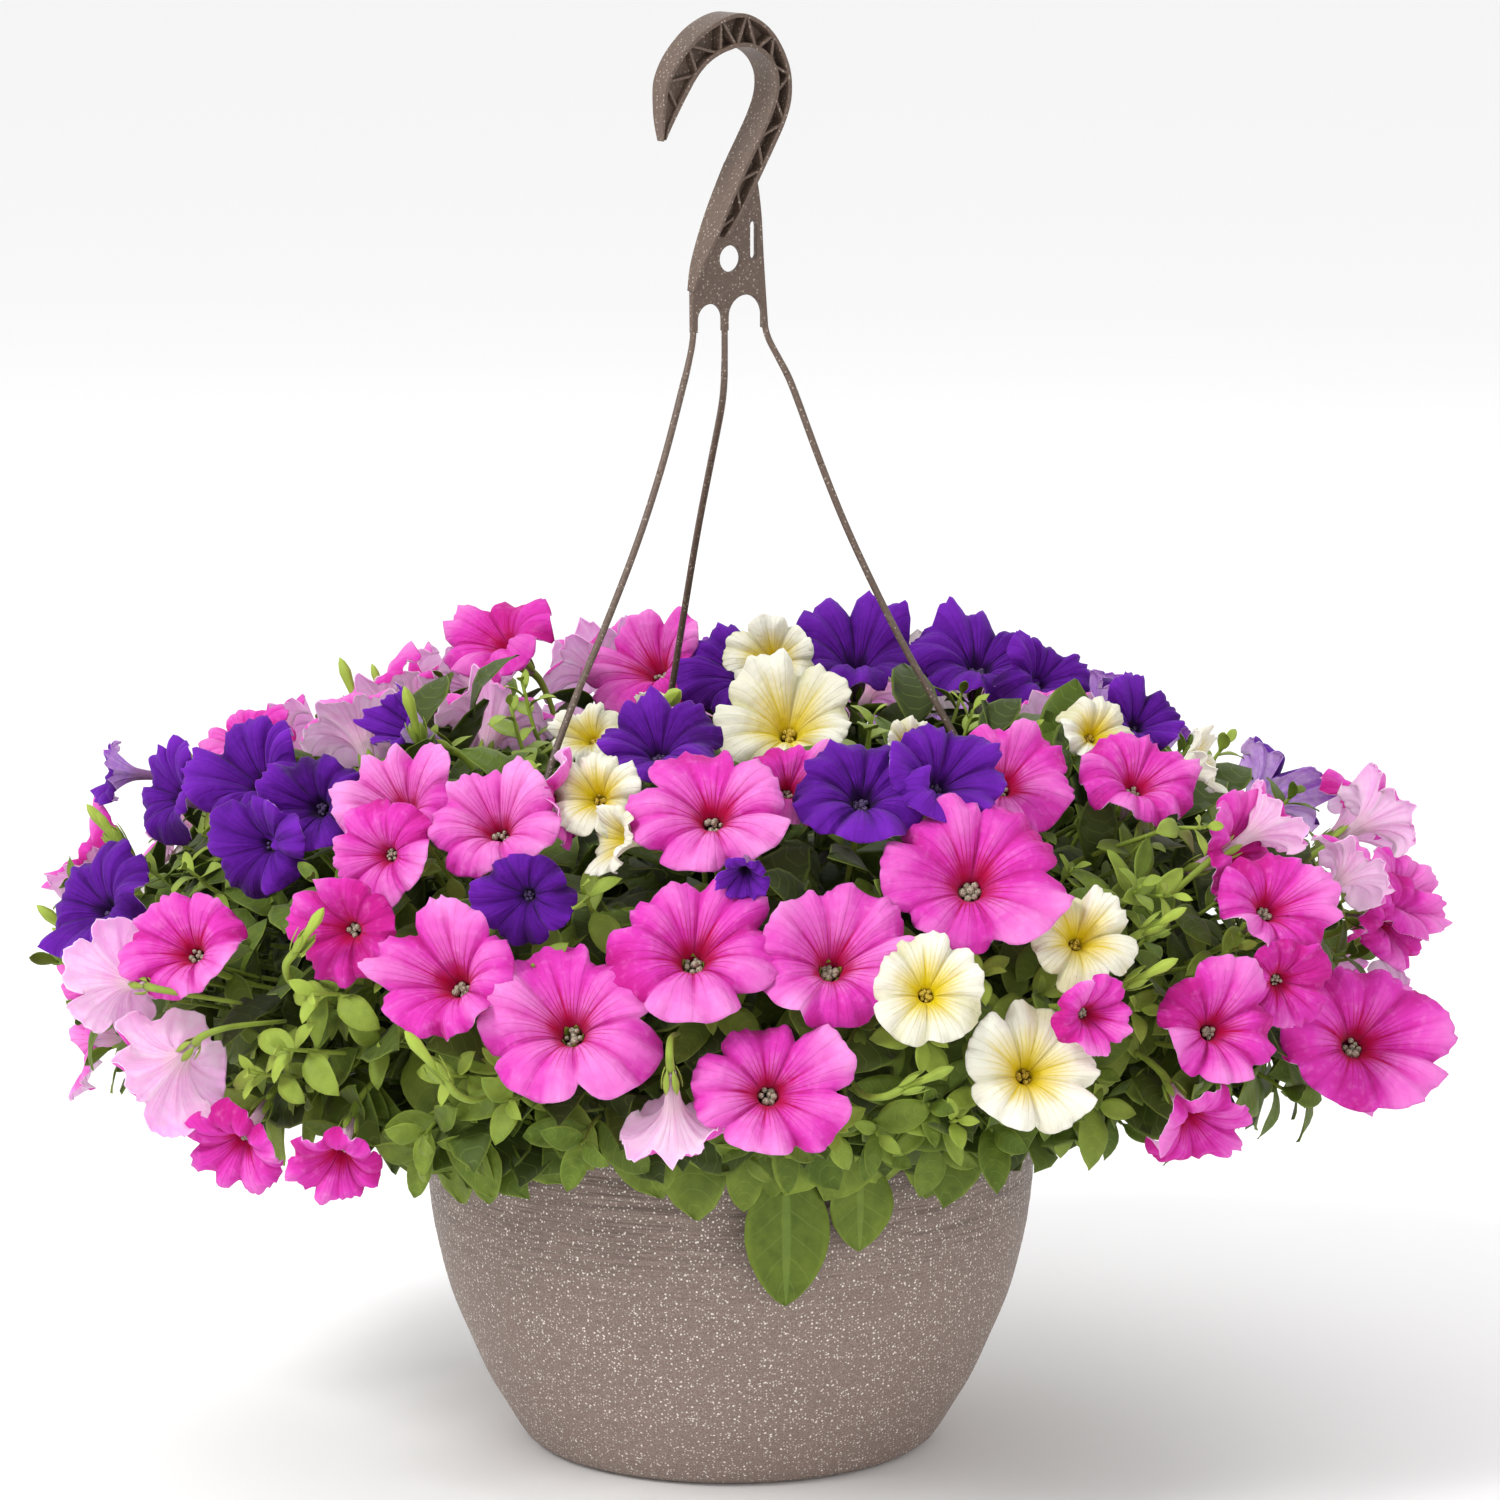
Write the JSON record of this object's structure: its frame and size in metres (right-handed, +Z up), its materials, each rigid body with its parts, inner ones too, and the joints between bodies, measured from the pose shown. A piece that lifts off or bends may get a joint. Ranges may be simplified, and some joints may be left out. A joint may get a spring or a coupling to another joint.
{
  "type": "hanging basket",
  "caption": "Planted hanging basket: speckled resin bowl on a moulded three-strand hook hanger, filled with potting mix and flowering trailing petunia plants.",
  "frame": {"origin": "centre of the bowl's flat underside", "axes": "+Z up; -Y towards the side the basket is shown from; the hanger's flat plane is turned 36 degrees about Z, so its hook tip points to -X and -Y"},
  "size_m": [0.6325, 0.549, 0.653],
  "materials": {
    "bowl_resin": "satin",
    "hanger_plastic": "satin",
    "potting_mix": "matte",
    "foliage": "satin",
    "pink_petals": "matte",
    "purple_petals": "matte",
    "cream_petals": "matte"
  },
  "bodies": {
    "basket": {"pot_shell": "bowl_resin", "potting_mix": "potting_mix", "rim_clip_front_left": "hanger_plastic", "rim_clip_back_left": "hanger_plastic", "rim_clip_right": "hanger_plastic", "strand_front_left": "hanger_plastic", "strand_back_left": "hanger_plastic", "strand_right": "hanger_plastic", "plant_1": "foliage", "plant_2": "foliage", "plant_3": "foliage", "plant_4": "foliage", "plant_5": "foliage", "plant_6": "foliage", "trailing_leaf_1": "foliage", "trailing_leaf_2": "foliage", "pink_bloom_1": "pink_petals", "pink_bloom_2": "pink_petals", "pink_bloom_3": "pink_petals", "pink_bloom_4": "pink_petals", "pink_bloom_5": "pink_petals", "pink_bloom_6": "pink_petals", "pink_bloom_7": "pink_petals", "pink_bloom_8": "pink_petals", "pink_bloom_9": "pink_petals", "pink_bloom_10": "pink_petals", "pink_bloom_11": "pink_petals", "pink_bloom_12": "pink_petals", "pink_bloom_13": "pink_petals", "pink_bloom_14": "pink_petals", "pink_bloom_15": "pink_petals", "pink_bloom_16": "pink_petals", "pink_bloom_17": "pink_petals", "pink_bloom_18": "pink_petals", "pink_bloom_19": "pink_petals", "pink_bloom_20": "pink_petals", "pink_bloom_21": "pink_petals", "pink_bloom_22": "pink_petals", "pink_bloom_23": "pink_petals", "pink_bloom_24": "pink_petals", "pink_bloom_25": "pink_petals", "purple_bloom_1": "purple_petals", "purple_bloom_2": "purple_petals", "purple_bloom_3": "purple_petals", "purple_bloom_4": "purple_petals", "purple_bloom_5": "purple_petals", "purple_bloom_6": "purple_petals", "purple_bloom_7": "purple_petals", "cream_bloom_1": "cream_petals", "cream_bloom_2": "cream_petals", "cream_bloom_3": "cream_petals", "cream_bloom_4": "cream_petals"},
    "lower_roots": {"lower_root_front_left": "hanger_plastic", "lower_root_back_left": "hanger_plastic", "lower_root_right": "hanger_plastic"},
    "upper_roots": {"upper_root_front_left": "hanger_plastic", "upper_root_back_left": "hanger_plastic", "upper_root_right": "hanger_plastic"},
    "hook": {"yoke_plate": "hanger_plastic", "hanger_hook": "hanger_plastic"}
  },
  "joints": [
    {"name": "hook_twist", "type": "hinge", "parent": "basket", "child": "lower_roots", "pos_m": [0, 0, 0.522], "axis": [0, 0, 1], "range_deg": [-25, 25], "stiffness_Nm_per_rad": 0.06},
    {"name": "hook_lean_side", "type": "hinge", "parent": "lower_roots", "child": "upper_roots", "pos_m": [0, 0, 0.522], "axis": [-0.5878, 0.809, 0], "range_deg": [-15, 15], "stiffness_Nm_per_rad": 0.2},
    {"name": "hook_fold", "type": "hinge", "parent": "upper_roots", "child": "hook", "pos_m": [0, 0, 0.522], "axis": [0.809, 0.5878, 0], "range_deg": [-30, 30], "stiffness_Nm_per_rad": 0.12}
  ]
}
